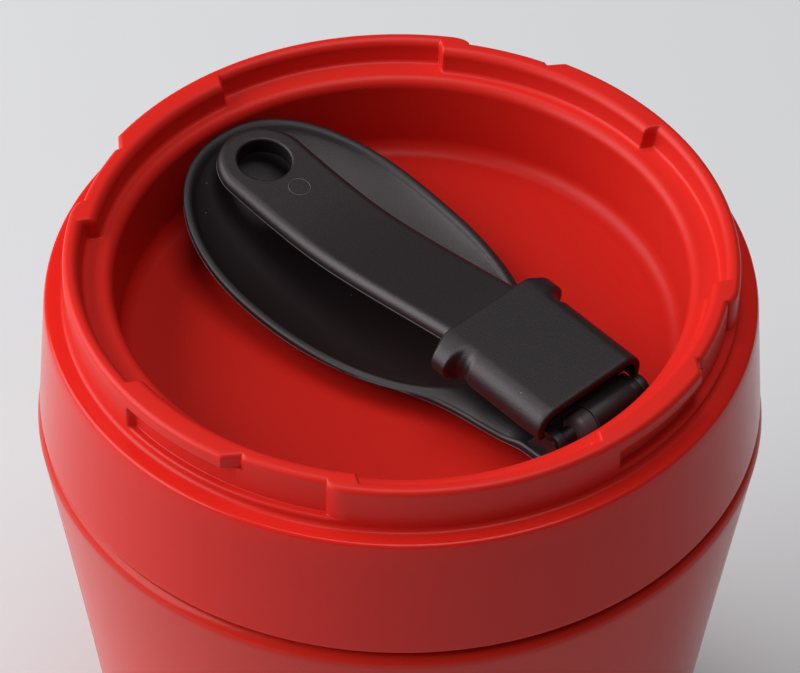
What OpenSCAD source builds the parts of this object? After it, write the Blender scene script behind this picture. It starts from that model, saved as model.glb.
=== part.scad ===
// Insulated food jar with a screw lid and a folding spoon stowed in the lid.
// Origin: centre of the foot, on the table. +Z is up, along the jar's axis.
// The spoon lies across the lid's well, its bowl tip towards the back left.

/* [Body] */
// Height of the steel body, from the table to the top of its shoulder
body_h = 89.5; // [80:0.5:100]
// Radius of the body at the foot
base_r = 42.2; // [41:0.1:44]
// Radius of the body at the shoulder
body_r = 52.9; // [52.6:0.1:55]
// How much of the taper is gathered near the shoulder, 1 is a straight cone
body_curve = 1.2; // [1:0.05:1.4]
// Sheet thickness of the outer shell
shell_t = 0.8; // [0.6:0.1:1]
// Sheet thickness of the inner vessel
vessel_t = 0.6; // [0.5:0.1:0.8]
// Width of the vacuum gap at the side
vacuum_gap = 5.4; // [4.5:0.1:6]
// Height of the inner vessel's floor above the table
vessel_floor = 9.4; // [8.5:0.1:12]
// Distance from the mouth's inner face to the outside of the neck
neck_t = 3.3; // [3:0.1:4]
// Height of the mouth's lip above the shoulder
neck_h = 6.1; // [5.5:0.1:6.4]

/* [Lid] */
// Gap between the skirt's lower edge and the body's shoulder
seam_gap = 0.8; // [0.5:0.1:1.2]
// How far the skirt's lower edge stands in from the body's shoulder
skirt_in = 0.4; // [0:0.1:1]
// How far the skirt leans in, from its lower edge to the ledge
skirt_lean = 1.5; // [0.8:0.1:2.5]
// Width of the ledge that the outer cover rests on
ledge_w = 2.9; // [2.5:0.1:4]
// Wall thickness of the lid's mouldings
lid_t = 2; // [1.8:0.1:2.2]
// Height of the collar above the ledge
collar_h = 7.3; // [6.5:0.1:9]
// Drop from the collar's top to the step inside it
inner_step = 3.6; // [3.2:0.1:4]
// Distance from the collar's inner face to the edge of the well's floor
step_w = 5.6; // [5:0.1:8]
// Depth of the well below the collar's top
well_d = 16.6; // [15:0.1:20]
// Thickness of the threaded wall inside the skirt
liner_wall = 3.3; // [2.5:0.1:4]

/* [Bayonet] */
// Number of bayonet recesses round the collar
lugs = 4; // [3:1:4]
// Direction in which the first recess opens
lug_start = -8.3; // [-20:0.1:20]
// Arc of a whole recess
recess_arc = 43.2; // [40:0.1:50]
// Arc of the open part, where a lug drops in
entry_arc = 20.9; // [17:0.1:22]
// How far a recess is set back into the collar
recess_d = 1.8; // [1.6:0.1:1.9]
// Height of a recess's floor above the ledge
recess_floor = 1.4; // [1.2:0.1:1.8]
// Thickness of the lip that a lug turns under
lip_t = 2.3; // [2:0.1:2.6]

/* [Spoon bowl] */
// Direction of the folded spoon, from its hinge to its tip
spoon_dir = 134.2; // [0:0.1:360]
// Distance from the edge of the well's floor to the hinge pin
hinge_room = 4.3; // [4:0.1:6]
// Sideways shift of the spoon from the jar's axis
spoon_shift = -1.83; // [-2.1:0.01:0]
// Width of the bowl
bowl_w = 36.5; // [33:0.1:37]
// Gap between the tip of the bowl and the well's wall
tip_room = 0.6; // [0.4:0.1:3]
// Length from the widest part of the bowl to its tip
bowl_front = 25.7; // [22:0.1:28]
// Height of the rim above the well's floor, at the neck
rim_z = 5.1; // [4.9:0.1:5.2]
// How much higher the rim stands at the tip
rim_rise = 6.6; // [6:0.1:6.8]
// Thickness of the bowl's wall
bowl_t = 1.4; // [1.2:0.1:1.7]
// Width of the rounded rim
rim_w = 1.9; // [1.5:0.1:2.1]
// Width of the neck at the hinge
neck_w = 19; // [18:0.1:19.4]

/* [Spoon handle] */
// Height of the hinge pin above the well's floor
pin_z = 7.7; // [7.6:0.1:7.9]
// Radius of the hinge barrel
barrel_r = 2.6; // [2.4:0.05:2.6]
// Radius of the hinge pin
pin_r = 1.25; // [1:0.05:1.4]
// Radial clearance between the pin and the barrel
pin_play = 0.05; // [0.03:0.01:0.08]
// How far the end of the handle stands back from the tip of the bowl
handle_short = 2.7; // [2:0.1:6]
// Width of the handle near its end
handle_w = 14.3; // [13:0.1:15]
// Thickness of the handle beyond the sleeve
handle_t = 3; // [2.7:0.1:3.2]
// Radius of the hanging hole
hole_r = 4; // [3.2:0.1:4.2]
// Distance from the end of the handle to the hanging hole's centre
hole_edge = 6.9; // [6:0.1:9]

/* [Lock sleeve] */
// Width of the lock sleeve
sleeve_w = 20.1; // [19.8:0.1:20.4]
// Thickness of the lock sleeve, top to bottom
sleeve_h = 6.1; // [5.9:0.1:6.3]
// Length of the lock sleeve
sleeve_l = 20.6; // [19:0.1:21]
// Wall thickness of the lock sleeve
sleeve_t = 1.1; // [1:0.05:1.2]
// Clearance between the lock sleeve and the handle
sleeve_play = 0.15; // [0.1:0.01:0.2]
// How far the thumb ribs stand out at the sides of the sleeve
rib_out = 1.7; // [1.2:0.1:1.8]
// Slope of the sleeve along the handle, in degrees
sleeve_slope = 3.6; // [3:0.1:4]

/* [Hidden] */
$fn = 120;
seat = 0.3;                                   // gap between pieces that are laid in
shoulder_round = 2;
bead_h = 1;                                   // height of the rolled lip
gasket_h = 1.2;
gasket_drop = 3;                              // how far the gasket reaches down round the plug
plug_h = 5;                                   // height of the plug below the gasket's flat
liner_t = 1.6;
liner_fit = 0.4;                              // gap between the threaded wall and the skirt
thread_gap = 0.5;                             // room for the threads between wall and neck
wall_lean = 0.6;                              // how much wider the well is at its top
foil_t = 0.3;
foil_in = 3;                                  // bare length of the vessel's side at each end of the foil
vessel_round = 9;                             // corner between the vessel's floor and side
neck_in = 13;                                 // below the shoulder, where the side turns in to the mouth
foot_w = 3;                                   // width of the foot ring's flat
foot_in = 4.4;                                // middle of the foot ring, in from the body's side
cover_lift = 2.2;                             // recess of the base cover
bottom_z = 4.2;                               // steel bottom that closes the vacuum

// Radii, each from the one outside it
skirt_r = body_r - skirt_in;                  // skirt at its lower edge
ledge_r = skirt_r - skirt_lean;
collar_r = ledge_r - ledge_w;                 // collar that the outer cover locks onto
collar_in = collar_r - lid_t;                 // its inner face, on the plain part
well_r = collar_in - step_w;
wall_out = skirt_r - lid_t - liner_fit;       // threaded wall inside the skirt
wall_in = wall_out - liner_wall;
neck_r = wall_in - thread_gap;                // outside of the steel neck
mouth_r = neck_r - neck_t;
plug_r = mouth_r - 0.7;                       // outside of the plug below the liner
foot_r = base_r - foot_in;

// Heights, each from the one below it
skirt_z = body_h + seam_gap;                  // lower edge of the skirt
lip_z = body_h + neck_h;                      // top of the mouth's lip
liner_z = lip_z + gasket_h;                   // underside of the liner's plate
well_z = liner_z + liner_t + seat + lid_t;    // floor of the well
ledge_z = well_z + well_d - collar_h;         // plane of the lid's ledge
step_z = well_z + well_d - inner_step;        // step inside the collar

// Lengths of the folded spoon, from the hinge pin
hinge_back = well_r - hinge_room;             // from the jar's axis back to the pin
bowl_reach = hinge_back + well_r + wall_lean - tip_room;
bowl_mid = bowl_reach - bowl_front;           // widest part of the bowl
handle_reach = bowl_reach - handle_short;
hole_x = handle_reach - hole_edge;

red = [0.77, 0.09, 0.07];
dark = [0.17, 0.15, 0.16];
steel = [0.72, 0.72, 0.74];
cream = [0.86, 0.84, 0.78];

// ---- helpers ----

// Arc of n steps about [x, y]
function arc(x, y, r, a0, a1, n = 8) =
    [for (i = [0:n]) let (a = a0 + (a1 - a0) * i / n) [x + r * cos(a), y + r * sin(a)]];

// Smooth step from 0 to 1
function ease(t) = let (u = max(0, min(1, t))) u * u * (3 - 2 * u);

// Signed power, for superellipse outlines
function spow(v, e) = sign(v) * pow(abs(v), e);

// Skin over a list of closed rings with equal point counts, closed at both ends
module skin(rings) {
    n = len(rings[0]);
    m = len(rings);
    sides = [for (i = [0:m - 2], k = [0:n - 1]) let (a = i * n + k, b = i * n + (k + 1) % n)
        each [[a, b + n, b], [a, a + n, b + n]]];
    polyhedron(points = [for (r = rings) each r],
        faces = concat([[for (k = [0:n - 1]) k]], sides, [[for (k = [n - 1:-1:0]) (m - 1) * n + k]]),
        convexity = 6);
}

// Part of a turned shape between two directions
module sector(a0, a1) rotate(a0) rotate_extrude(angle = a1 - a0) children();

// Puts the folded spoon's frame, hinge pin above the origin, into the well
module in_well() translate([0, 0, well_z]) rotate(spoon_dir)
    translate([-hinge_back, spoon_shift, 0]) children();

// ---- body ----

// Outside radius of the body at height z
function side_r(z) = base_r + (body_r - base_r) * pow(z / (body_h - shoulder_round), body_curve);

// The side's outline from z0 to z1, moved in by d
function side(z0, z1, d, n = 16) = [for (i = [0:n]) let (z = z0 + (z1 - z0) * i / n) [side_r(z) - d, z]];

module outer_shell() color(red) rotate_extrude() polygon(concat(
    side(0.6, body_h - shoulder_round, 0),
    arc(body_r - shoulder_round, body_h - shoulder_round, shoulder_round, 10, 90),
    [[neck_r + 0.6, body_h], [neck_r, body_h + 0.6], [neck_r, lip_z - bead_h],
     [neck_r - shell_t, lip_z - bead_h], [neck_r - shell_t, body_h - shell_t]],
    arc(body_r - shoulder_round, body_h - shoulder_round, shoulder_round - shell_t, 90, 10),
    [for (p = [16:-1:0]) side(0.6, body_h - shoulder_round, shell_t)[p]]));

// Dished steel disc that closes the vacuum, welded inside the shell
module outer_bottom() {
    r = side_r(bottom_z) - shell_t;
    dish_r = foot_r - 6;
    flat_r = r - 3;
    color(steel) difference() {
        rotate_extrude() polygon([[0, bottom_z + 0.8], [dish_r, bottom_z + 0.8],
            [flat_r, bottom_z], [r - 1, bottom_z], [r - 1, bottom_z - 1.4], [r - 0.2, bottom_z - 1.4],
            [r, bottom_z + 0.6], [flat_r, bottom_z + 0.8], [dish_r, bottom_z + 1.6], [0, bottom_z + 1.6]]);
        translate([0, 0, bottom_z]) cylinder(r = 1.5, h = 3);
    }
}

// Solder plug in the evacuation hole
module evacuation_seal() color([0.6, 0.6, 0.58]) translate([0, 0, bottom_z + 0.2]) {
    cylinder(r = 1.5, h = 1.6);
    rotate_extrude() polygon(concat([[0, 0.6], [3, 0.6]], arc(0, 0.6, 3, 0, -90, 6) * [[1, 0], [0, 0.25]]));
}

// Cover under the jar, with the flat foot ring that it stands on
module base_cover() {
    r = side_r(0.6) - shell_t;
    color(red) rotate_extrude() polygon([
        [0, cover_lift], [foot_r - 3.5, cover_lift], [foot_r - 2.2, 0.5], [foot_r - 1.7, 0],
        [foot_r + foot_w / 2, 0], [foot_r + foot_w / 2 + 0.5, 0.3], [r - 0.3, 1], [r - 0.05, 1.3],
        [r - 0.05, 2.2], [foot_r + 1, 2.2], [foot_r - 1, 2.2],
        [foot_r - 3, cover_lift + 1], [0, cover_lift + 1]]);
}

// Inner radius of the vessel below the neck
function vessel_r(z) = side_r(z) - shell_t - vacuum_gap - vessel_t;

// Outline of the vessel's inside from the floor up to the neck, moved out by d
function vessel_side(d) = let (z0 = vessel_floor + vessel_round, z1 = body_h - neck_in, n = 12) concat(
    arc(vessel_r(z0) - vessel_round, z0, vessel_round + d, -90, -8, 8),
    [for (i = [1:n]) let (z = z0 + (z1 - z0) * i / n) [vessel_r(z) + d, z]],
    [[mouth_r + 0.5 + d, body_h - 5], [mouth_r + d, body_h - 3]]);

module inner_vessel() color(steel) rotate_extrude() polygon(concat(
    [[0, vessel_floor]], vessel_side(0),
    arc(mouth_r + 0.7, lip_z - 0.7, 0.7, 180, 90, 4),
    arc(neck_r - 0.5, lip_z - 0.7, 0.7, 90, 0, 4),
    [[neck_r + 0.2, lip_z - bead_h], [mouth_r + vessel_t, lip_z - bead_h]],
    [for (p = [len(vessel_side(0)) - 1:-1:0]) vessel_side(vessel_t)[p]],
    [[0, vessel_floor - vessel_t]]));

// Radiation foil laid on the vessel's side
module foil_wrap() {
    n = 8;
    z0 = vessel_floor + vessel_round + foil_in;
    z1 = body_h - neck_in - foil_in;
    line = [for (i = [0:n]) let (z = z0 + (z1 - z0) * i / n) [vessel_r(z) + vessel_t, z]];
    color([0.85, 0.85, 0.86]) rotate_extrude() polygon(concat(
        [for (p = line) p + [0.05, 0]], [for (i = [n:-1:0]) line[i] + [foil_t + 0.05, 0]]));
}

// Getter pellet under the vessel's floor
module getter() color([0.45, 0.44, 0.42])
    translate([16, 0, vessel_floor - vessel_t - 1.6]) cylinder(r = 4, h = 1.6);

// ---- lid ----

module lid_profile() polygon(concat(
    [[skirt_r, skirt_z], [ledge_r + 0.1, ledge_z - 0.9]],
    arc(ledge_r - 0.8, ledge_z - 0.8, 0.8, 0, 90, 4),
    arc(collar_r + 1, ledge_z + 0.8, 0.8, 270, 180, 4),
    arc(collar_r - 0.7, ledge_z + collar_h - 0.7, 0.7, 0, 90, 4),
    arc(collar_in + 0.5, ledge_z + collar_h - 0.5, 0.5, 90, 180, 4),
    [[collar_in - 0.4, step_z + 0.4], [collar_in - 0.8, step_z]],
    arc(well_r + wall_lean + step_round, step_z - step_round, step_round, 90, 180, 6),
    arc(well_r - 0.8, well_z + 0.8, 0.8, 0, -90, 4),
    [[0, well_z], [0, well_z - lid_t], [well_r, well_z - lid_t], [well_r + 1.4, well_z - lid_t + 1],
     [well_r + 2.4, step_z - lid_t], [collar_in + 0.2, step_z - lid_t], [collar_in + 0.2, ledge_z - lid_t],
     [ledge_r - lid_t, ledge_z - lid_t], [skirt_r - lid_t, skirt_z]]));

step_round = 1.5;             // rounding of the step into the well
end_slant = 1.3;              // degrees by which the end walls of a recess lean
ramp = 3.5;                   // degrees over which the wall behind a recess steps in
lip_round = 2.4;              // rounding of the lip's free end

// Point at the radius r in the direction a
function at(r, a) = r * [cos(a), sin(a)];

// Point on a recess's end wall, which runs from the angle e[0] at its back to e[1] at the collar's face
function slant(e, k) = let (p = at(collar_r - recess_d, e[0])) p + (at(collar_r, e[1]) - p) * k;

// Cut of height h between two slanted ends, from the recess's back outwards
module recess_cut(a, b, h) translate([0, 0, ledge_z + recess_floor]) intersection() {
    rotate_extrude() translate([collar_r - recess_d, 0]) square([recess_d + 2, h]);
    translate([0, 0, -1]) linear_extrude(h + 2) polygon([slant(a, -1), slant(a, 2.5),
        at(collar_r * 1.3, (a[0] + b[0]) / 2), slant(b, 2.5), slant(b, -1)]);
}

// One bayonet recess's cuts, turned clockwise from its start
module recess_cuts() {
    groove_h = collar_h - lip_t - recess_floor;
    start = [-2 * end_slant, -end_slant / 2];
    recess_cut(start, [end_slant - recess_arc, -recess_arc], groove_h);
    recess_cut(start, [-entry_arc, -entry_arc], collar_h);
    // rounded free end of the lip
    lip_low = ledge_z + recess_floor + groove_h;
    rotate(-entry_arc) translate([collar_r - recess_d, 0, lip_low - 0.5]) difference() {
        translate([lip_round / 3, -lip_round, 0]) cube([lip_round * 2, lip_round * 2, lip_t + 1]);
        translate([-0.3, 0.2 - lip_round, -1]) cylinder(r = lip_round, h = lip_t + 3);
    }
}

// Wall behind and below a recess, stepped in by the recess's depth, with ramps at its ends
module recess_back() {
    inner = collar_in - recess_d;
    low_z = ledge_z + recess_floor - lid_t;
    sector(ramp - recess_arc, -ramp) polygon(concat(
        [[inner, low_z], [collar_in + 0.6, low_z], [collar_in + 0.6, ledge_z + collar_h]],
        arc(inner + 0.6, ledge_z + collar_h - 0.6, 0.6, 90, 180, 4)));
    for (e = [[-ramp, 0], [ramp - recess_arc, -recess_arc]])
        let (inside = e[0] + (e[0] - e[1]) / 2)
        translate([0, 0, low_z + 0.1]) linear_extrude(ledge_z + collar_h - low_z - 0.4) polygon([
            at(inner + 0.25, inside), at(inner + 0.15, e[0]), at(collar_in + 0.5, e[1]),
            at(collar_in + 0.7, e[1]), at(collar_in + 0.7, inside)]);
}

module lid_shell() color(red) difference() {
    union() {
        rotate_extrude() lid_profile();
        for (k = [0:lugs - 1]) rotate(lug_start + k * 360 / lugs) recess_back();
    }
    for (k = [0:lugs - 1]) rotate(lug_start + k * 360 / lugs) recess_cuts();
}

// Ring of foam between the well and the skirt
module lid_foam() {
    fit = 0.1;
    low = liner_z + liner_t + fit;
    under_ledge = ledge_z - lid_t - fit;
    behind = collar_in - recess_d - fit;
    color(cream) rotate_extrude() polygon([
        [well_r + 1.8, low], [ledge_r - lid_t, low], [ledge_r - lid_t, under_ledge],
        [collar_in + fit, under_ledge], [collar_in + fit, under_ledge + recess_floor],
        [behind, under_ledge + recess_floor], [behind, step_z - lid_t - fit],
        [well_r + 2.8, step_z - lid_t - fit], [well_r + 1.8, well_z - 0.4]]);
}

// Underside of the lid: closing plate, threaded wall and plug
module lid_liner() {
    low = skirt_z + 0.6;
    plug_z = liner_z - gasket_h - plug_h;
    color(cream) rotate_extrude() polygon([
        [0, liner_z + 0.2], [plug_r - 2, liner_z + 0.2], [plug_r - 2, plug_z + 1],
        [plug_r - 0.6, plug_z], [plug_r, plug_z + 0.6], [plug_r, liner_z],
        [wall_in, liner_z], [wall_in, low], [wall_out, low],
        [wall_out - 0.4, liner_z + liner_t], [0, liner_z + liner_t]]);
}

// Silicone ring between the liner and the mouth's lip
module lid_gasket() color([0.8, 0.8, 0.78]) rotate_extrude() polygon([
    [plug_r, liner_z - gasket_h - gasket_drop], [plug_r + 0.4, liner_z - gasket_h - gasket_drop + 0.6],
    [plug_r + 0.4, liner_z - gasket_h], [neck_r, liner_z - gasket_h],
    [neck_r + 0.2, liner_z - gasket_h + 0.3], [neck_r + 0.2, liner_z], [plug_r, liner_z]]);

// ---- spoon, in its own frame: x runs from the hinge pin to the tip, z = 0 is the well's floor ----

rim_flat = bowl_mid - bowl_front * 0.584;     // the rim is level up to here
rim_edge = 0.9;               // depth of the rim's outer edge
bowl_back = bowl_mid - 16;    // length of the bowl behind its widest part
bowl_deep = rim_z + 0.57 - bowl_t;

// Height of the rim at x
function rim(x) = rim_z + rim_rise * pow(max(0, (x - rim_flat) / (bowl_reach - rim_flat)), 2);

// Outline of the bowl, moved in by d
function bowl_edge(a, d) = cos(a) >= 0
    ? [(bowl_reach - bowl_mid - d) * spow(cos(a), 2 / 2.25), (bowl_w / 2 - d) * spow(sin(a), 2 / 2.25)]
    : [(bowl_back - d) * spow(cos(a), 2 / 2.15), (bowl_w / 2 - d) * spow(sin(a), 2 / 2.15)];

// A ring at the fraction s of the outline, drop below the rim
function bowl_ring(s, d, drop) = [for (k = [0:55]) let (a = k * 360 / 56, p = bowl_edge(a, d) * s)
    [bowl_mid + p[0], p[1], max(0, rim(bowl_mid + p[0]) - drop)]];

function bowl_rings() = concat(
    [for (s = [0.1, 0.3, 0.48, 0.64, 0.78, 0.88, 0.95, 1])
        bowl_ring(s, 0, rim_edge + (bowl_deep + bowl_t + 0.25 - rim_edge) * pow(1 - pow(s, 2.2), 0.8))],
    [bowl_ring(1, 0, 0.5), bowl_ring(1, 0.5, 0), bowl_ring(1, rim_w - 0.5, 0), bowl_ring(1, rim_w, 0.4)],
    [for (s = [0.95, 0.88, 0.78, 0.64, 0.48, 0.3, 0.1])
        bowl_ring(s, rim_w, 0.4 + (bowl_deep - 0.4) * pow(1 - pow(s, 2.4), 0.85))]);

// Rounded rectangle across x, hw half wide, from z0 to z1
function slab(x, hw, z0, z1, r) = let (q = min(r, hw * 0.9, (z1 - z0) * 0.49)) [for (p = concat(
    arc(hw - q, z1 - q, q, 0, 90, 3), arc(q - hw, z1 - q, q, 90, 180, 3),
    arc(q - hw, z0 + q, q, 180, 270, 3), arc(hw - q, z0 + q, q, 270, 360, 3))) [x, p[0], p[1]]];

far_lug = [-10, -7.25];       // ends of the bowl's knuckles along the pin
near_lug = [6.2, 7.7];
lug_r = barrel_r - 0.6;
lug_gap = 0.2;                // side clearance of the handle's barrel
pin_tip = 0.3;                // how far the pin shows at the near knuckle, and is sunk in the far one
tongue_t = 1.6;               // thickness of the neck
neck_z = rim_z - tongue_t;    // underside of the neck
neck_slim = 0.9;              // how much narrower the neck is at each side near the hinge

// Half width of the neck at x: slim where the sleeve passes, then flaring into the bowl
function neck_hw(x) = neck_w / 2 - neck_slim + neck_slim * ease((x - 5) / 9) + 1.7 * ease((x - 12) / 14);

// Cylinder about the pin's axis between the two ends e
module about_pin(e, r) translate([0, e[1], pin_z]) rotate([90, 0, 0]) cylinder(r = r, h = e[1] - e[0]);

// A knuckle between the two ends e, with its root on the neck
module knuckle(e) {
    about_pin(e, lug_r);
    root = [max(e[0], -neck_hw(0)), e[1]];
    translate([0, root[1], 0]) rotate([90, 0, 0]) linear_extrude(root[1] - root[0])
        polygon([[0.2, neck_z + 0.4], [5, neck_z + 0.4], [5, rim_z - 0.4],
            [lug_r, pin_z], [0.2, pin_z - lug_r * 0.9]]);
}

module spoon_bowl() color(dark) in_well() {
    difference() {
        union() {
            skin(bowl_rings());
            skin([for (x = [0.2, 3, 5, 7, 9, 11, 13, 15, 18, 21, 24])
                slab(x, neck_hw(x), neck_z, rim_z, tongue_t / 2 - 0.1)]);
        }
        about_pin([far_lug[1], near_lug[0]], barrel_r + seat);
    }
    difference() {
        union() {
            knuckle(far_lug);
            knuckle(near_lug);
        }
        about_pin([far_lug[0] - 1, near_lug[1] + 1], pin_r);
    }
}

slab_x = 2.8;                 // end of the handle's slab behind the barrel
slab_z = pin_z + 1.6;         // underside of the handle at the hinge, along the sleeve
slab_h = sleeve_h - 2 * (sleeve_t + sleeve_play);
slab_hw = sleeve_w / 2 - sleeve_t - sleeve_play;
end_r = handle_w / 2;
arch_x = handle_reach - 24.5; // lowest point of the handle's arch
arch_z = pin_z + 3.3;         // height of its top there

// Top of the handle: straight through the sleeve, then a shallow arch
function handle_top(x) = let (
    a = slab_z + slab_h + tan(sleeve_slope) * x,
    b = arch_z + 0.15 * (sqrt(pow(x - arch_x, 2) + 81) - 9)) -ln(exp(-3 * a) + exp(-3 * b)) / 3;

// Half width of the handle: full in the sleeve, narrowing beyond it, with a round end
function handle_hw(x) = x > handle_reach - end_r
    ? sqrt(max(0.04, pow(end_r, 2) - pow(x - handle_reach + end_r, 2)))
    : x <= sleeve_l + 0.3 ? slab_hw
    : end_r + (slab_hw - 0.2 - end_r) * pow(max(0, 1 - (x - sleeve_l - 0.3) / 28), 1.6);

// Thickness of the handle: that of the slab in the sleeve, thinner beyond it and at the end
function handle_thick(x) = slab_h + (handle_t - slab_h) * ease((x - sleeve_l + 3.6) / 5)
    - 0.4 * ease((x - handle_reach + 12) / 12);

// Stations along the handle: in the sleeve, where it thins, along the arch and round the end
handle_x = concat([slab_x], [for (i = [2:5]) (sleeve_l - 0.6) * i / 5],
    [for (d = [0.4, 1.4, 3.4, 5.4]) sleeve_l + d],
    [for (i = [0:9]) let (a = sleeve_l + 8.4, b = handle_reach - end_r - 1.85) a + (b - a) * i / 9],
    [for (a = [0:15:90]) handle_reach - end_r + end_r * sin(a)]);

barrel = [far_lug[1] + lug_gap, 0.8];         // ends of the handle's barrel along the pin
boss = [barrel[1] - 0.1, 4.2];                // stub beside it
boss_r = barrel_r - 0.4;

module spoon_handle() color(dark) in_well() difference() {
    union() {
        skin([for (x = handle_x) slab(x, handle_hw(x), handle_top(x) - handle_thick(x), handle_top(x),
            x < 20 ? slab_h / 2 : 1.5)]);
        about_pin(barrel, barrel_r);
        about_pin(boss, boss_r);
        // web that rises from the barrel's top into the slab
        translate([0, barrel[1], 0]) rotate([90, 0, 0]) linear_extrude(barrel[1] - barrel[0])
            polygon([[0.6, pin_z], [barrel_r, pin_z], [slab_x - 0.1, slab_z - 0.2],
                [slab_x - 0.1, slab_z + 0.3], [slab_x + 0.3, slab_z + 0.3],
                [slab_x + 0.3, slab_z + 2.2], [0.9, pin_z + barrel_r], [0, pin_z + barrel_r]]);
    }
    about_pin([barrel[0] - 1, boss[1] + 1], pin_r + pin_play);
    translate([hole_x, 0, 0]) cylinder(r = hole_r, h = 30);
}

// Pin through the knuckles
module hinge_pin() color(dark) in_well() about_pin([far_lug[0] + pin_tip, near_lug[1] + pin_tip], pin_r);

sleeve_x = 0.3;               // end of the sleeve's top over the hinge
mouth_x = barrel_r + 0.6;     // where the sleeve's lower half starts
floor_l = 9;                  // length of the sleeve's lower wall
sleeve_z = slab_z - sleeve_play - sleeve_t;   // underside of the sleeve at the hinge

sleeve_flat = sleeve_w / 2 - sleeve_h / 2;    // half width of its flat top

// Outline of the sleeve at x, hw half wide: flat faces and half-round sides, drawn in by d
function sleeve_ring(x, hw, d) = let (m = sleeve_z + sleeve_h / 2, h = sleeve_h / 2 - d)
    [for (s = [1, -1], t = [-90:15:90])
        [x, s * (sleeve_flat + (hw - sleeve_flat - d) * cos(t)), m + s * h * sin(t)]];

// Half width of the sleeve, with the thumb ribs at the handle's end and the groove before them
function sleeve_hw(x) = let (e = sleeve_l + sleeve_x - x)
    sleeve_w / 2 + rib_out * ease((4.4 - e) / 1.1) - 0.5 * (1 - ease(abs(e - 5.4) / 1.3))
        - rib_out * (1 - ease(e / 1.1));

// Stations along the sleeve, close together round the groove and the ribs
sleeve_e = [14, 7, 6.6, 6.2, 5.8, 5.4, 5, 4.6, 4.2, 3.9, 3.6, 3.3, 1.5, 0.9, 0.5, 0.2];

module lock_sleeve() color(dark) in_well()
    multmatrix([[1, 0, 0, 0], [0, 1, 0, 0], [tan(sleeve_slope), 0, 1, 0], [0, 0, 0, 1]]) difference() {
        skin(concat([sleeve_ring(sleeve_x, sleeve_w / 2 - 0.35, 0.35)],
            [sleeve_ring(sleeve_x + 0.35, sleeve_w / 2, 0)],
            [for (e = sleeve_e) let (x = sleeve_x + sleeve_l - e) sleeve_ring(x, sleeve_hw(x), 0)],
            [sleeve_ring(sleeve_x + sleeve_l, sleeve_hw(sleeve_x + sleeve_l) - 0.35, 0.35)]));
        translate([-1, 0, 0]) rotate([90, 0, 90]) linear_extrude(sleeve_l + 5)
            polygon([for (p = slab(0, sleeve_w / 2 - sleeve_t, sleeve_z + sleeve_t,
                sleeve_z + sleeve_h - sleeve_t, sleeve_h / 2 - sleeve_t)) [p[1], p[2]]]);
        // open mouth over the hinge, and open floor towards the handle
        translate([-1, -sleeve_w, 0]) cube([mouth_x + 1, 2 * sleeve_w, pin_z + lug_r + seat]);
        translate([mouth_x + floor_l, -slab_hw + 0.4, sleeve_z - 1])
            cube([sleeve_l, 2 * slab_hw - 0.8, 1 + sleeve_t + 0.8]);
    }

outer_shell();
outer_bottom();
evacuation_seal();
base_cover();
inner_vessel();
foil_wrap();
getter();
lid_shell();
lid_foam();
lid_liner();
lid_gasket();
spoon_bowl();
spoon_handle();
lock_sleeve();
hinge_pin();
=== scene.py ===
import math

import bmesh
import bpy
import numpy as np
from mathutils import Matrix, Vector


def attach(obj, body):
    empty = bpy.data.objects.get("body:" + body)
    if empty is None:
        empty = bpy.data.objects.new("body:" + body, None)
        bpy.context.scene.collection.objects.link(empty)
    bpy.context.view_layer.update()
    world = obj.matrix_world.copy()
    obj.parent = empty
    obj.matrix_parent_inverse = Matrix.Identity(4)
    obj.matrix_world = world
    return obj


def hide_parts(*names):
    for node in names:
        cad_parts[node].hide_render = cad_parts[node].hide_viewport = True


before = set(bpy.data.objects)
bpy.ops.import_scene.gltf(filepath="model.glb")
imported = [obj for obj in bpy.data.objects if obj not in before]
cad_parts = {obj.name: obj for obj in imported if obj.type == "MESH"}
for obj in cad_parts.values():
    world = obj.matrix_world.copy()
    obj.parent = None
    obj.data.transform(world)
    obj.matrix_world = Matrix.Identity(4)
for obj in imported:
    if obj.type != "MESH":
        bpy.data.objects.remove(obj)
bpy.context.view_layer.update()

# ---- Camera, table and studio light ----
# The camera looks down on the lid from the front, from far enough away that the round
# mouth hardly tapers. A pale table and two soft boxes stand by the jar; none belong to it.
camera_place = Vector((0, -0.44594, 0.52914))
camera_aim = Vector((-0.00011, -0.010177, 0.11))
camera_roll = math.radians(0.661)
camera = bpy.data.objects.new("camera", bpy.data.cameras.new("camera"))
camera.data.sensor_width = 36
camera.data.lens = 192.79
camera.data.clip_end = 30
camera.location = camera_place
sight = (camera_aim - camera_place).to_track_quat("-Z", "Y").to_matrix().to_4x4()
camera.rotation_euler = (sight @ Matrix.Rotation(camera_roll, 4, "Z")).to_euler()
bpy.context.scene.collection.objects.link(camera)
bpy.context.scene.camera = camera
bpy.context.scene.view_settings.view_transform = "Standard"


def finish(name):
    """A node material of that name, with its tree and its shader ready for the pattern nodes."""
    material = bpy.data.materials.new(name)
    material.use_nodes = True
    return material, material.node_tree, material.node_tree.nodes["Principled BSDF"]


def relief(tree, shader, pattern, strength, depth):
    """Fine relief on a finish: the light and dark of a pattern become bumps of a depth in metres."""
    bumps = tree.nodes.new("ShaderNodeBump")
    bumps.inputs["Strength"].default_value = strength
    bumps.inputs["Distance"].default_value = depth
    tree.links.new(pattern, bumps.inputs["Height"])
    tree.links.new(bumps.outputs["Normal"], shader.inputs["Normal"])


def soft_box(name, place, aim, width, height, watts):
    """A rectangular lamp at a place, turned to face the point it is aimed at."""
    lamp = bpy.data.lights.new(name, "AREA")
    lamp.shape = "RECTANGLE"
    lamp.size = width
    lamp.size_y = height
    lamp.energy = watts
    box = bpy.data.objects.new(name, lamp)
    box.location = place
    box.rotation_euler = (Vector(aim) - Vector(place)).to_track_quat("-Z", "Y").to_euler()
    bpy.context.scene.collection.objects.link(box)


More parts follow.
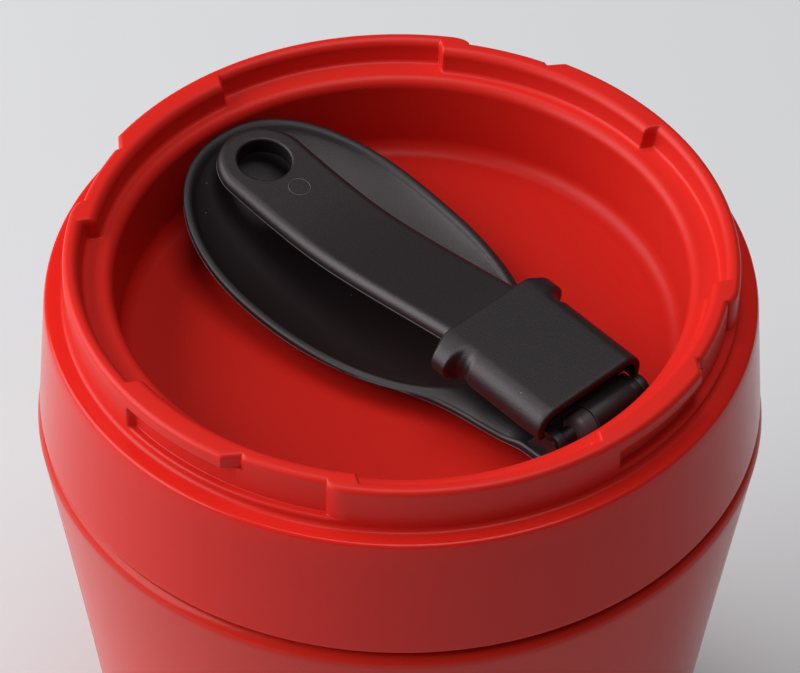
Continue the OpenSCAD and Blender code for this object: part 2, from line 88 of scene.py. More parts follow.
soft_box("left_box", (-1.18, 0.06, 0.82), (0, 0, 0.1), 1.6, 1.2, 26.5)
soft_box("top_box", (0.1, 0.05, 1.4), (0, 0, 0.1), 1.0, 0.7, 7.5)

table_half = 4
table_top = bpy.data.meshes.new("table")
table_top.from_pydata([(-table_half, -table_half, 0), (table_half, -table_half, 0),
                       (table_half, table_half, 0), (-table_half, table_half, 0)], [], [(0, 1, 2, 3)])
table = bpy.data.objects.new("table", table_top)
bpy.context.scene.collection.objects.link(table)
table_paint, tree, shader = finish("pale_table")
shader.inputs["Base Color"].default_value = (0.7, 0.71, 0.725, 1)
shader.inputs["Roughness"].default_value = 0.85
tooth = tree.nodes.new("ShaderNodeTexNoise")
tooth.inputs["Scale"].default_value = 900
relief(tree, shader, tooth.outputs["Fac"], 0.03, 0.0002)
table_top.materials.append(table_paint)

studio = bpy.data.worlds.new("studio")
studio.use_nodes = True
bpy.context.scene.world = studio
nodes, links = studio.node_tree.nodes, studio.node_tree.links
sky = nodes["Background"]
sky.inputs["Color"].default_value = (0.86, 0.87, 0.9, 1)
sky.inputs["Strength"].default_value = 0.08
backdrop = nodes.new("ShaderNodeBackground")
backdrop.inputs["Color"].default_value = (0.62, 0.62, 0.64, 1)
path = nodes.new("ShaderNodeLightPath")
choice = nodes.new("ShaderNodeMixShader")
links.new(path.outputs["Is Camera Ray"], choice.inputs["Fac"])
links.new(sky.outputs["Background"], choice.inputs[1])
links.new(backdrop.outputs["Background"], choice.inputs[2])
links.new(choice.outputs["Shader"], nodes["World Output"].inputs["Surface"])

# ---- Painted side of the outer shell ----
# A thin steel tumbler, drawn and spun to a taper that closes over a rounded shoulder, then
# sprayed with red enamel. The lid's skirt stops just above the shoulder.
body_height = 89.5
foot_radius, shoulder_radius = 42.2, 52.9
shell_sheet = 0.8
shoulder_bend, hem_bend = 2.0, 0.4
side_low, hem_height = 0.9, 1.0
neck_outside = 46.3
neck_join = neck_outside + 1.2


def side_radius(z):
    """The foot's radius plus the body's spread, times the share of the side's height to the power 1.2."""
    return foot_radius + (shoulder_radius - foot_radius) * (z / (body_height - shoulder_bend)) ** 1.2


def bend(r, z, radius, start, end, steps=10):
    """Points on a circle about (r, z), from one angle to the other, in degrees."""
    a = np.radians(np.linspace(start, end, steps))
    return np.stack([r + radius * np.cos(a), z + radius * np.sin(a)], 1)


def patchwork(name, patches, crease=35):
    """One closed, smooth piece from grids of points in millimetres whose shared borders match. Each patch
    is (grid, wrap): every point joins the next row and the next column, and the last column joins the
    first where wrap is true. Points that fall together are merged, and edges past the crease are sharp."""
    points, corners, count = [], [], 0
    for grid, wrap in patches:
        n_rows, n_columns = grid.shape[:2]
        number = count + np.arange(n_rows * n_columns).reshape(n_rows, n_columns)
        number = np.concatenate([number, number[:, :1]], 1) if wrap else number
        faces = np.stack([number[:-1, :-1], number[:-1, 1:], number[1:, 1:], number[1:, :-1]], -1)
        corners.append(faces.reshape(-1, 4))
        points.append(grid.reshape(-1, 3))
        count += n_rows * n_columns
    mesh = bpy.data.meshes.new(name)
    mesh.from_pydata((np.concatenate(points) / 1000).tolist(), [], np.concatenate(corners).tolist())
    build = bmesh.new()
    build.from_mesh(mesh)
    bmesh.ops.remove_doubles(build, verts=build.verts, dist=2e-7)
    build.to_mesh(mesh)
    build.free()
    mesh.shade_smooth()
    mesh.set_sharp_from_angle(angle=math.radians(crease))
    piece = bpy.data.objects.new(name, mesh)
    bpy.context.scene.collection.objects.link(piece)
    return piece


def surface(name, grid, crease=35):
    """A piece from one grid whose last column joins the first."""
    return patchwork(name, [(grid, True)], crease)


def turned(name, profile, columns=288):
    """Each point of a profile (radius, height) carried once round the jar's axis."""
    a = np.linspace(0, 2 * np.pi, columns, endpoint=False)
    r, z = profile[:, :1], profile[:, 1:]
    return surface(name, np.stack([r * np.cos(a), r * np.sin(a), z + 0 * a], -1))


def noise(tree, vector, scale, detail):
    """Cloudy noise on a vector, with so many patches per metre."""
    clouds = tree.nodes.new("ShaderNodeTexNoise")
    clouds.inputs["Scale"].default_value = scale
    clouds.inputs["Detail"].default_value = detail
    tree.links.new(vector, clouds.inputs["Vector"])
    return clouds.outputs["Fac"]


def grade(tree, value, low, high, at_low, at_high):
    """A straight line from one number to another while a value runs from low to high; level beyond."""
    ramp = tree.nodes.new("ShaderNodeMapRange")
    ramp.inputs["From Min"].default_value = low
    ramp.inputs["From Max"].default_value = high
    ramp.inputs["To Min"].default_value = at_low
    ramp.inputs["To Max"].default_value = at_high
    tree.links.new(value, ramp.inputs["Value"])
    return ramp.outputs["Result"]


def shade(tree, shader, amount):
    """Multiplies the colour that the shader has, whether plain or from nodes, by an amount."""
    tone = tree.nodes.new("ShaderNodeVectorMath")
    tone.operation = "SCALE"
    colour = shader.inputs["Base Color"]
    if colour.is_linked:
        tree.links.new(colour.links[0].from_socket, tone.inputs[0])
    else:
        tone.inputs[0].default_value = colour.default_value[:3]
    tree.links.new(amount, tone.inputs["Scale"])
    tree.links.new(tone.outputs["Vector"], colour)


def paint(name, colour, roughness, grain=900, depth=0.04, mottle=0.03, spread=0.03):
    """A moulded or sprayed finish: fine bumps of a grain per metre, with colour and gloss that drift."""
    material, tree, shader = finish(name)
    shader.inputs["Base Color"].default_value = (*colour, 1)
    where = tree.nodes.new("ShaderNodeTexCoord").outputs["Object"]
    relief(tree, shader, noise(tree, where, grain, 3), depth, 0.0003)
    broad = noise(tree, where, 28, 2)
    shade(tree, shader, grade(tree, broad, 0, 1, 1 - mottle, 1 + mottle))
    gloss = grade(tree, broad, 0, 1, roughness - spread, roughness + spread)
    tree.links.new(gloss, shader.inputs["Roughness"])
    return material


def polish(material, socket, value):
    """Sets a finish's own plain value on its shader."""
    material.node_tree.nodes["Principled BSDF"].inputs[socket].default_value = value


foot_edge = side_radius(0.6)
side_z = np.linspace(side_low, body_height - shoulder_bend, 90)
outside = np.stack([side_radius(side_z), side_z], 1)
inside = np.stack([side_radius(side_z) - shell_sheet, side_z], 1)[::-1]
hem = bend(foot_edge - hem_bend, hem_height, hem_bend, 180, 360, 8)
shoulder_middle = (shoulder_radius - shoulder_bend, body_height - shoulder_bend)
shoulder = bend(*shoulder_middle, shoulder_bend, 6, 90)
under = bend(*shoulder_middle, shoulder_bend - shell_sheet, 90, 6)
join = np.array([[neck_join, body_height], [neck_join, body_height - shell_sheet]])
shell_wall = np.concatenate([hem, outside, shoulder, join, under, inside, hem[:1]])
shell_side = turned("shell_side", shell_wall, 384)
red_enamel = paint("red_enamel", (0.58, 0.017, 0.008), 0.26, grain=700)
polish(red_enamel, "Specular IOR Level", 0.22)
shell_side.data.materials.append(red_enamel)
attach(shell_side, "jar")
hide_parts("outer_shell")

# ---- Neck of the outer shell ----
# The same sheet, left bare above the shoulder. It rises to the mouth and carries three
# rolled starts of the lid's thread.
mouth_lip = 95.6
neck_top, neck_root = mouth_lip - 1, 0.8
thread_starts, thread_sweep, thread_climb = 3, 150, 2.6
thread_height, thread_half, thread_sunk = 0.2, 0.8, 0.15
neck_thread_low = 90.9
neck_wall = np.concatenate([
    [[neck_join, body_height - shell_sheet], [neck_join, body_height]],
    bend(neck_outside + neck_root, body_height + neck_root, neck_root, 270, 180, 6),
    [[neck_outside, neck_top], [neck_outside - shell_sheet, neck_top]],
    [[neck_outside - shell_sheet, body_height - shell_sheet], [neck_join, body_height - shell_sheet]]])
shell_neck = turned("shell_neck", neck_wall)


def brushed(name, colour, roughness, lines):
    """Bare metal with fine turned lines: noise drawn out round the axis, with so many lines per metre."""
    material, tree, shader = finish(name)
    shader.inputs["Base Color"].default_value = (*colour, 1)
    shader.inputs["Metallic"].default_value = 1
    stretch = tree.nodes.new("ShaderNodeMapping")
    stretch.inputs["Scale"].default_value = (40, 40, lines)
    where = tree.nodes.new("ShaderNodeTexCoord")
    tree.links.new(where.outputs["Object"], stretch.inputs["Vector"])
    fine = noise(tree, stretch.outputs["Vector"], 1, 4)
    relief(tree, shader, fine, 0.12, 0.0002)
    shade(tree, shader, grade(tree, fine, 0, 1, 0.9, 1.06))
    dull = grade(tree, fine, 0, 1, roughness - 0.06, roughness + 0.08)
    tree.links.new(dull, shader.inputs["Roughness"])
    return material


turned_steel = brushed("turned_steel", (0.66, 0.66, 0.68), 0.3, 5200)
shell_neck.data.materials.append(turned_steel)
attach(shell_neck, "jar")


def rise(x, low, high):
    """0 below the low value, 1 above the high one, and a smooth S between them."""
    u = np.clip((x - low) / (high - low), 0, 1)
    return u * u * (3 - 2 * u)


def thread(name, start, radius, low, inwards):
    """A rounded ridge laid on a helix: its height swells from nothing to full over a tenth of the sweep
    at each end, and falls off across its width as half a cosine wave."""
    t = np.linspace(0, 1, 120)[:, None]
    u = np.linspace(-1, 1, 11)[None, :]
    swell = rise(np.maximum(np.minimum(t, 1 - t) * 10, 0.02), 0, 1)
    bulge = thread_height * swell * np.cos(np.pi / 2 * u)
    sign = -1 if inwards else 1
    r = np.concatenate([radius + sign * bulge, radius - sign * thread_sunk + 0 * bulge[:, ::-1]], 1)
    z = low + thread_climb * t + thread_half * swell * np.concatenate([u, u[:, ::-1]], 1)
    a = np.radians(start + thread_sweep * t) + 0 * r
    grid = np.stack([r * np.cos(a), r * np.sin(a), z], -1)
    grid = grid if inwards else grid[:, ::-1]
    first, last = (row.mean(1, keepdims=True) + 0 * row for row in (grid[:1], grid[-1:]))
    return surface(name, np.concatenate([first, grid, last]))


for start in range(thread_starts):
    start_at = 360 / thread_starts * start
    ridge = thread(f"neck_thread_{start}", start_at, neck_outside, neck_thread_low, False)
    ridge.data.materials.append(turned_steel)
    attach(ridge, "jar")

# ---- Vacuum bottom, solder seal, getter and foil ----
# A dished steel disc welded into the foot closes the vacuum; solder plugs the hole it was
# pumped through. A sintered getter and a wrap of bright foil sit in the vacuum.
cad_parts["outer_bottom"].material_slots[0].material = turned_steel
dull_solder = brushed("dull_solder", (0.5, 0.5, 0.48), 0.46, 900)
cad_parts["evacuation_seal"].material_slots[0].material = dull_solder
getter_pellet = paint("getter_pellet", (0.12, 0.115, 0.11), 0.7, grain=2600, depth=0.5)
polish(getter_pellet, "Metallic", 0.8)
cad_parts["getter"].material_slots[0].material = getter_pellet
bright_foil = paint("bright_foil", (0.86, 0.86, 0.87), 0.22, grain=260, depth=0.6)
polish(bright_foil, "Metallic", 1)
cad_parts["foil_wrap"].material_slots[0].material = bright_foil

# ---- Base cover ----
# A red moulded cup pressed into the foot. The jar stands on the flat of its ring, and the
# middle is set back, with a fine raised line round it and the mould's gate mark at the centre.
cover_rim = foot_edge - shell_sheet - 0.05
ring_middle = foot_radius - 4.4
middle_low, cover_sheet = 2.2, 1.0
middle_high = middle_low + cover_sheet
gate_flat, gate_low, gate_bend = 1.1, 2.0, 0.25
line_at, line_bend = ring_middle - 8.6, 0.2
ring_bend, rim_bend = 0.6, 0.3
cover = np.concatenate([
    [[0, gate_low], [gate_flat, gate_low]],
    bend(gate_flat + 2 * gate_bend, middle_low - gate_bend, gate_bend, 180, 90, 4),
    [[gate_flat + 0.8, middle_low], [line_at - 2 * line_bend, middle_low]],
    bend(line_at - 2 * line_bend, middle_low - line_bend, line_bend, 90, 0, 3),
    bend(line_at + 2 * line_bend, middle_low - line_bend, line_bend, 180, 90, 3),
    [[ring_middle - 4.2, middle_low]],
    bend(ring_middle - 4.0, middle_low - ring_bend, ring_bend, 90, 20, 5),
    bend(ring_middle - 1.7, ring_bend, ring_bend, 200, 270, 6),
    bend(ring_middle + 1.5, 0.4, 0.4, 270, 330, 4),
    [[cover_rim - 0.4, 0.95]],
    bend(cover_rim - rim_bend, 1.25, rim_bend, 270, 360, 5),
    [[cover_rim, middle_low], [ring_middle + 1, middle_low], [ring_middle - 1, middle_low + 0.1]],
    [[ring_middle - 3, middle_high], [0, middle_high]]])
base_cover = turned("base_cover_piece", cover, 256)
base_plastic = paint("base_plastic", (0.46, 0.02, 0.018), 0.48, grain=1500, depth=0.16)
base_cover.data.materials.append(base_plastic)
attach(base_cover, "jar")
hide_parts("base_cover")

# ---- Inner vessel ----
# The food side of the vacuum wall: a deep-drawn steel cup with a rounded floor, polished in
# turned lines, and rolled over the neck into a smooth drinking lip.
vessel_floor, vessel_sheet, vacuum = 9.4, 0.6, 5.4
floor_bend, lip_bend = 9, 0.7
throat_low, throat_high = body_height - 13, body_height - 3
mouth_radius = 43.0
lip_outside = neck_outside + 0.2
wall_z = np.linspace(vessel_floor + floor_bend, throat_low, 60)


def vessel_wall(out):
    """Inside of the cup moved out by a distance: a round floor corner, a side that keeps the vacuum gap,
    then a throat that runs to the mouth on a smooth S."""
    r = side_radius(wall_z) - shell_sheet - vacuum - vessel_sheet
    floor_corner = bend(r[0] - floor_bend, wall_z[0], floor_bend + out, -90, -8, 16)
    up = np.linspace(0, 1, 14)[1:]
    throat_r = r[-1] + out + (mouth_radius - r[-1]) * rise(up, 0, 1)
    throat_z = throat_low + (throat_high - throat_low) * up
    return np.concatenate([floor_corner, np.stack([r + out, wall_z], 1), np.stack([throat_r, throat_z], 1)])


lip_roll = np.concatenate([
    bend(mouth_radius + lip_bend, mouth_lip - lip_bend, lip_bend, 180, 90),
    bend(lip_outside - lip_bend, mouth_lip - lip_bend, lip_bend, 90, 0),
    [[lip_outside, neck_top], [mouth_radius + vessel_sheet, neck_top]]])
cup = np.concatenate([[[0, vessel_floor]], vessel_wall(0), lip_roll, vessel_wall(vessel_sheet)[::-1],
                      [[0, vessel_floor - vessel_sheet]]])
vessel = turned("vessel", cup[::-1], 320)
cup_steel = brushed("cup_steel", (0.68, 0.68, 0.69), 0.24, 4200)
vessel.data.materials.append(cup_steel)
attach(vessel, "jar")
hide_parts("inner_vessel")

# ---- Foam, liner and gasket of the lid ----
# Foam fills the lid between the well and the skirt. A dark satin moulding closes it from
# below, with a plug that enters the mouth and a wall that carries the lid's thread.
pale_foam = paint("pale_foam", (0.7, 0.66, 0.56), 0.9, grain=2200, depth=0.6)
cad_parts["lid_foam"].material_slots[0].material = pale_foam
gasket_height, liner_sheet = 1.2, 1.6
liner_under = mouth_lip + gasket_height
panel_under = liner_under + 0.2
plug_radius = mouth_radius - 0.7
plug_inside, plug_low = plug_radius - 2, liner_under - 5.2
liner_in, liner_out, liner_low = 46.8, 50.1, 90.9
plug_bend, root_bend, wall_bend = 0.6, 0.3, 0.4
liner_thread_low, liner_thread_turn = 91.9, 40
liner = np.concatenate([
    [[0, liner_under - 0.1], [1.2, liner_under - 0.1], [1.6, panel_under], [plug_radius - 16, panel_under]],
    bend(plug_radius - 15.4, panel_under, 0.25, 180, 360, 7),
    bend(plug_inside - plug_bend, panel_under - plug_bend, plug_bend, 90, 0, 5),
    [[plug_inside, plug_low]],
    bend(plug_radius - 1.3, plug_low - 0.4, plug_bend, 200, 340, 8),
    [[plug_radius, plug_low + 0.4], [plug_radius, liner_under]],
    bend(liner_in - root_bend, liner_under - root_bend, root_bend, 90, 0, 4),
    [[liner_in, liner_low + 0.5]],
    bend(liner_in + wall_bend, liner_low + wall_bend, wall_bend, 180, 270, 4),
    bend(liner_out - wall_bend, liner_low + wall_bend, wall_bend, 270, 360, 4),
    [[liner_out - wall_bend, liner_under + liner_sheet], [0, liner_under + liner_sheet]]])
lid_liner = turned("liner", liner)
satin_liner = paint("satin_liner", (0.028, 0.026, 0.027), 0.4, grain=1600, depth=0.1)
lid_liner.data.materials.append(satin_liner)
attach(lid_liner, "lid")
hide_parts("lid_liner")
for start in range(thread_starts):
    start_at = 360 / thread_starts * start + liner_thread_turn
    ridge = thread(f"liner_thread_{start}", start_at, liner_in, liner_thread_low, True)
    ridge.data.materials.append(satin_liner)
    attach(ridge, "lid")

seal_low, seal_bend, foot_bend = liner_under - 4.2, 0.25, 0.4
seal = np.concatenate([
    [[plug_radius, seal_low]],
    bend(plug_radius + seal_bend, seal_low + 2 * seal_bend, seal_bend, 270, 360, 5),
    bend(plug_radius + 0.65, mouth_lip - seal_bend, seal_bend, 180, 90, 5),
    [[neck_outside - 0.4, mouth_lip]],
    bend(lip_outside - foot_bend, mouth_lip + foot_bend, foot_bend, 270, 360, 5),
    [[lip_outside, liner_under], [plug_radius, liner_under], [plug_radius, seal_low]]])
gasket = turned("gasket", seal, 256)
pale_silicone = paint("pale_silicone", (0.62, 0.62, 0.6), 0.55, grain=1100, depth=0.12)
polish(pale_silicone, "Subsurface Weight", 0.15)
polish(pale_silicone, "Subsurface Scale", 0.001)
gasket.data.materials.append(pale_silicone)
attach(gasket, "lid")
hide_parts("lid_gasket")

# ---- Lid shell ----
# One glossy red moulding: skirt, ledge, bayonet collar and the well that stows the spoon.
# Four recesses open upwards in the collar and run clockwise under lips that hold the cover.
skirt_low, ledge, collar_top = 90.3, 110.0, 117.3
skirt_radius, ledge_radius, collar_radius = 52.5, 51.0, 48.1
lid_wall = 2.0
step_height, well_floor, well_radius = 113.7, 100.7, 40.5
recess_start, recess_arc = -8.3, 43.2
recess_depth, groove_depth, recess_floor, lip_under = 1.8, 1.2, 111.4, 115.0
entry_from, entry_arc = 0.2, 3.5
lip_angles = [18.3, 19.1, 21.9]
lip_pocket = 0.45
skirt_bend, ledge_bend, collar_root, outer_soft = 0.3, 0.62, 0.7, 0.9
step_bend, brow_bend, well_bend = 0.65, 1.6, 2.4

# Degrees into a quarter of the lid, close together where a recess, its lip or the thin rim begins or ends.
period = np.unique(np.concatenate([
    np.linspace(0, 90, 61), entry_from + entry_arc * np.sin(np.linspace(0, np.pi / 2, 24)), [3.71, 3.9],
    np.linspace(17.9, 22.3, 12), lip_angles, np.linspace(41.5, 43.6, 13), np.linspace(44.0, 46.4, 19),
    np.linspace(87.9, 89.7, 16)]))[:-1]
turn = np.concatenate([period + 90 * k for k in range(4)])
into = np.tile(period, 4)

# A recess deepens on a quarter of an ellipse and ends on a smooth S; its lip runs out on a slant.
entry = np.clip((into - entry_from) / entry_arc, 0, 1)
groove = groove_depth * (1 - np.sqrt(1 - entry ** 2)) * rise(recess_arc - into, 0, 1.4)
slant = np.interp(into, lip_angles, [groove_depth, groove_depth + lip_pocket, 0])
lip = np.where(into < lip_angles[0], groove, slant)
past_jog = (into + 1.9) % 90
set_in = recess_depth * rise(past_jog, 0, 1.3) * (1 - rise(past_jog, 46.3, 47.8))


def ring(r, z):
    """A row of the lid, at a radius and a height that may change round it."""
    return np.stack([r + 0 * turn, z + 0 * turn], -1)


def rows(points):
    """Rows of the lid that are the same all round."""
    return [ring(r, z) for r, z in points]


def moving_bend(r, z, radius, start, end, steps):
    """Rows on a small circle whose centre, and size, may change round the lid."""
    angles = np.radians(np.linspace(start, end, steps))
    return [ring(r + radius * np.cos(a), z + radius * np.sin(a)) for a in angles]


face = collar_radius - lip
back = collar_radius - groove
inner = collar_radius - lid_wall - set_in
edge_soft = np.minimum(1.35, (face - inner) * 0.62)
corner_soft = np.minimum(0.22, groove / 3)
sill_soft = np.minimum(0.42, groove / 2.2)
roof_soft = np.clip((face - back) / 3, 0, 0.22)
lip_soft = np.clip((face - back) / 2.5, 0, 0.3)
underside = rows([
    (0, well_floor - lid_wall), (well_radius, well_floor - lid_wall), (well_radius + 1.4, well_floor - 1.0),
    (well_radius + 2.4, step_height - lid_wall), (collar_radius - 2 * lid_wall, step_height - lid_wall),
    (collar_radius - 2 * lid_wall, ledge - 0.6), (collar_radius - lid_wall, ledge - 0.8),
    (collar_radius - lid_wall, ledge - lid_wall), (ledge_radius - lid_wall, ledge - lid_wall),
    (skirt_radius - lid_wall, skirt_low + 0.2), (skirt_radius - 1.8, skirt_low)])
skirt = (
    rows(bend(skirt_radius - skirt_bend, skirt_low + skirt_bend, skirt_bend, 270, 360, 5))
    + rows(np.linspace([skirt_radius - 0.02, skirt_low + 0.6], [ledge_radius + 0.1, ledge - 1.0], 12))
    + rows(bend(ledge_radius - ledge_bend, ledge - ledge_bend, ledge_bend, 5, 90, 9))
    + rows([(collar_radius + 1.8, ledge), (collar_radius + 1.3, ledge)])
    + rows(bend(collar_radius + collar_root, ledge + collar_root, collar_root, 270, 180, 7)))
collar = (
    moving_bend(collar_radius - sill_soft, recess_floor - sill_soft, sill_soft, 0, 90, 7)
    + [ring(collar_radius - 0.55 * groove, recess_floor)]
    + moving_bend(back + corner_soft, recess_floor + corner_soft, corner_soft, 270, 180, 5)
    + moving_bend(back + roof_soft, lip_under - roof_soft, roof_soft, 180, 90, 5)
    + [ring(0.5 * (back + face), lip_under)]
    + moving_bend(face - lip_soft, lip_under + lip_soft, lip_soft, 270, 360, 5)
    + [ring(face, lip_under + 0.6), ring(face, collar_top - outer_soft)]
    + moving_bend(face - outer_soft, collar_top - outer_soft, outer_soft, 0, 88, 12)
    + moving_bend(inner + edge_soft - 0.3, collar_top - edge_soft, edge_soft, 90, 176, 14))
well = (
    [ring(inner - 0.42, step_height + 1.5), ring(inner - 0.62, step_height + 0.7)]
    + moving_bend(inner - 0.63 - step_bend, step_height + step_bend, step_bend, 0, -86, 7)
    + rows([(well_radius + 2.4, step_height)])
    + rows(bend(well_radius + 0.5 + brow_bend, step_height - brow_bend, brow_bend, 86, 180, 18))
    + rows(np.linspace([well_radius + 0.48, step_height - 2.3], [well_radius + 0.1, well_floor + 3.9], 9))
    + rows(bend(well_radius + 0.05 - well_bend, well_floor + well_bend, well_bend, -2, -90, 18))
    + rows([(r, well_floor) for r in (35.5, 33, 30, 24, 17, 9, 0)]))
lid_r, lid_z = np.moveaxis(np.stack(underside + skirt + collar + well)[:, ::-1], -1, 0)
angle = np.radians(recess_start - turn)[::-1]
lid = surface("lid", np.stack([lid_r * np.cos(angle), lid_r * np.sin(angle), lid_z], -1), crease=26)


def from_axis(tree):
    """How far a point lies from the jar's axis, in metres: the length of its x and y alone."""
    where = tree.nodes.new("ShaderNodeTexCoord")
    flat = tree.nodes.new("ShaderNodeVectorMath")
    flat.operation = "MULTIPLY"
    flat.inputs[1].default_value = (1, 1, 0)
    reach = tree.nodes.new("ShaderNodeVectorMath")
    reach.operation = "LENGTH"
    tree.links.new(where.outputs["Object"], flat.inputs[0])
    tree.links.new(flat.outputs["Vector"], reach.inputs[0])
    return reach.outputs["Value"]


def combine(tree, operation, first, second):
    """Two values added or multiplied at each point."""
    both = tree.nodes.new("ShaderNodeMath")
    both.operation = operation
    tree.links.new(first, both.inputs[0])
    tree.links.new(second, both.inputs[1])
    return both.outputs["Value"]


# The red is painted darker inside the well than on the collar and ledge: painted shade in the well and
# painted light on the lid's top. It is painted a little darker on the skirt too, as painted shade on its
# side. It is dullest inward of the collar's face. The distances from the axis are in metres.
gloss_red = paint("gloss_red", (0.61, 0.015, 0.0095), 0.3, grain=520, depth=0.02)
tree = gloss_red.node_tree
shader = tree.nodes["Principled BSDF"]
reach = from_axis(tree)
drift = shader.inputs["Roughness"].links[0].from_socket
satin = combine(tree, "ADD", grade(tree, reach, 0.0475, 0.0505, 0.1, -0.1), drift)
tree.links.new(satin, shader.inputs["Roughness"])
painted_well_shade = grade(tree, reach, 0.0385, 0.0425, 0.85, 1.1)
painted_skirt_shade = grade(tree, reach, 0.0508, 0.0514, 1, 0.9)
shade(tree, shader, combine(tree, "MULTIPLY", painted_well_shade, painted_skirt_shade))
tree.links.new(grade(tree, reach, 0.0385, 0.0425, 0.13, 0.23), shader.inputs["Specular IOR Level"])
lid.data.materials.append(gloss_red)
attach(lid, "lid")
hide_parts("lid_shell")

gate_reach, gate_radius, gate_high = 43.25, 0.6, 0.16
gate_at = math.radians(-50)
gate_r, gate_a = np.linspace(0, 1, 9)[:, None], np.linspace(0, 2 * np.pi, 32, endpoint=False)[None, :]
gate_x = gate_reach * math.cos(gate_at) + gate_radius * gate_r * np.cos(gate_a)
gate_y = gate_reach * math.sin(gate_at) + gate_radius * gate_r * np.sin(gate_a)
gate_top = step_height - 0.02 + gate_high * np.sqrt(1 - gate_r ** 2) + 0 * gate_a
gate_dome = np.stack([gate_x, gate_y, gate_top], -1)
gate_sole = np.stack([gate_x, gate_y, step_height - 0.2 + 0 * gate_top], -1)[::-1]
gate_mark = surface("gate_mark", np.concatenate([gate_dome, gate_sole])[::-1])
gate_mark.data.materials.append(gloss_red)
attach(gate_mark, "lid")

# ---- Spoon bowl and neck ----
# Black moulded nylon: a broad shallow bowl with a rounded rim that climbs towards its tip,
# and a flat neck that carries two knuckles for the hinge pin. It lies in the well.
spoon_turn = math.radians(134.2)
pin_back, spoon_aside, pin_height = 36.2, -1.83, 7.7
bowl_tip, bowl_middle, bowl_behind, bowl_half = 76.7, 51.0, 35.0, 18.25
tip_power, rear_power = 2.25, 2.15
rim_height, rim_climb, rim_level, rim_width, rim_thick = 5.1, 6.6, 36, 1.4, 0.9
bowl_sheet, bowl_depth, rim_step = 1.4, 4.27, 0.4
neck_end, heel_bend, neck_soft = 1.0, 0.8, 3.6
top_fall, under_fall = 1.25, 0.75
edge_round = 0.5
plan_middle = np.array([42.0, 0])


def in_well(points):
    """The spoon's frame, whose x runs from the hinge pin to the tip and whose floor is the well's, turned
    about the jar's axis to the spoon's direction and raised onto the floor."""
    x, y, z = points[..., 0] - pin_back, points[..., 1] + spoon_aside, points[..., 2] + well_floor
    c, s = math.cos(spoon_turn), math.sin(spoon_turn)
    return np.stack([x * c - y * s, x * s + y * c, z], -1)


def rim(x):
    """Level near the neck, then rising with the square of the distance beyond."""
    return rim_height + rim_climb * (np.maximum(0, x - rim_level) / (bowl_tip - rim_level)) ** 2


def neck_half(x):
    """Half width of the neck: slim under the sleeve, then flaring twice on smooth steps into the bowl."""
    return 8.6 + 0.9 * rise(x, 5, 14) + 1.7 * rise(x, 12, 26)


def share(x, y, inset):
    """How far out a point lies, 1 on the bowl's outline moved in by an inset: a superellipse of one power
    ahead of the widest part and of another behind it."""
    power = np.where(x > bowl_middle, tip_power, rear_power)
    length = np.where(x > bowl_middle, bowl_tip - bowl_middle, bowl_behind) - inset
    along = np.abs(x - bowl_middle) / length
    return (along ** power + (np.abs(y) / (bowl_half - inset)) ** power) ** (1 / power)


# Half the outline, from the tip: a superellipse, then the wider, softly, of the bowl and the neck
# behind it, and a rounded heel. The other half mirrors it.
front = np.radians(np.linspace(0, 90, 70))
front_x = bowl_middle + (bowl_tip - bowl_middle) * np.cos(front) ** (2 / tip_power)
front_y = bowl_half * np.sin(front) ** (2 / tip_power)
rear_x = np.linspace(bowl_middle, neck_end, 90)[1:]
rear_share = np.clip(1 - ((bowl_middle - rear_x) / bowl_behind) ** rear_power, 0, 1)
rear_bowl = bowl_half * rear_share ** (1 / rear_power)
rear_y = np.logaddexp(1.5 * rear_bowl, 1.5 * neck_half(rear_x)) / 1.5
heel = bend(neck_end, rear_y[-1] - heel_bend, heel_bend, 90, 180, 5)[1:]
half_x = np.concatenate([front_x, rear_x, heel[:, 0], [neck_end - heel_bend] * 3])
half_y = np.concatenate([front_y, rear_y, heel[:, 1], [5.4, 2.7, 0]])
edge = np.stack([np.concatenate([half_x, half_x[-2:0:-1]]), np.concatenate([half_y, -half_y[-2:0:-1]])], 1)


def outline(inset):
    """The spoon's outline drawn in by a distance, along its own normal."""
    ahead = np.roll(edge, -1, 0) - np.roll(edge, 1, 0)
    normal = np.stack([ahead[:, 1], -ahead[:, 0]], 1) / np.linalg.norm(ahead, axis=1, keepdims=True)
    return edge - normal * inset


def crown(x, y):
    """How far the neck's edges fall below its middle, as a share: the square of the way out over the last
    few millimetres, fading out at the knuckles and along the bowl's rim."""
    half = np.interp(x, rear_x[::-1], rear_y[::-1])
    out = np.clip(1 - (half - np.abs(y)) / neck_soft, 0, 1) ** 2
    return out * rise(x, 4.5, 9) * (1 - rise(x, 24, 44))


def spoon_top(x, y):
    """The rim's height, less the hollow: a small rounded step where it leaves the rim, plus the rest of its
    depth times one minus the share to the power 2.4, all to the power 0.85."""
    s = share(x, y, rim_width)
    step = rim_step * rise(1 - s, -0.03, 0.02)
    hollow = (bowl_depth - rim_step) * np.maximum(0, 1 - s ** 2.4) ** 0.85
    return rim(x) - step - hollow - top_fall * crown(x, y)


def spoon_base(x, y):
    """Underside: the lower of the neck's and the rim's, which swells within the bowl's outline as one minus
    the share to the power 2.2, all to the power 0.8. It never goes below the floor."""
    s = np.minimum(share(x, y, 0), 1)
    swell = (bowl_depth + bowl_sheet - 0.65) * (1 - s ** 2.2) ** 0.8
    neck = np.where(x < 30, 3.5 + 1.5 * rise(x, 20, 30), 9.0) - under_fall * crown(x, y)
    return np.maximum(0, np.minimum(neck, rim(x) - rim_thick - swell))


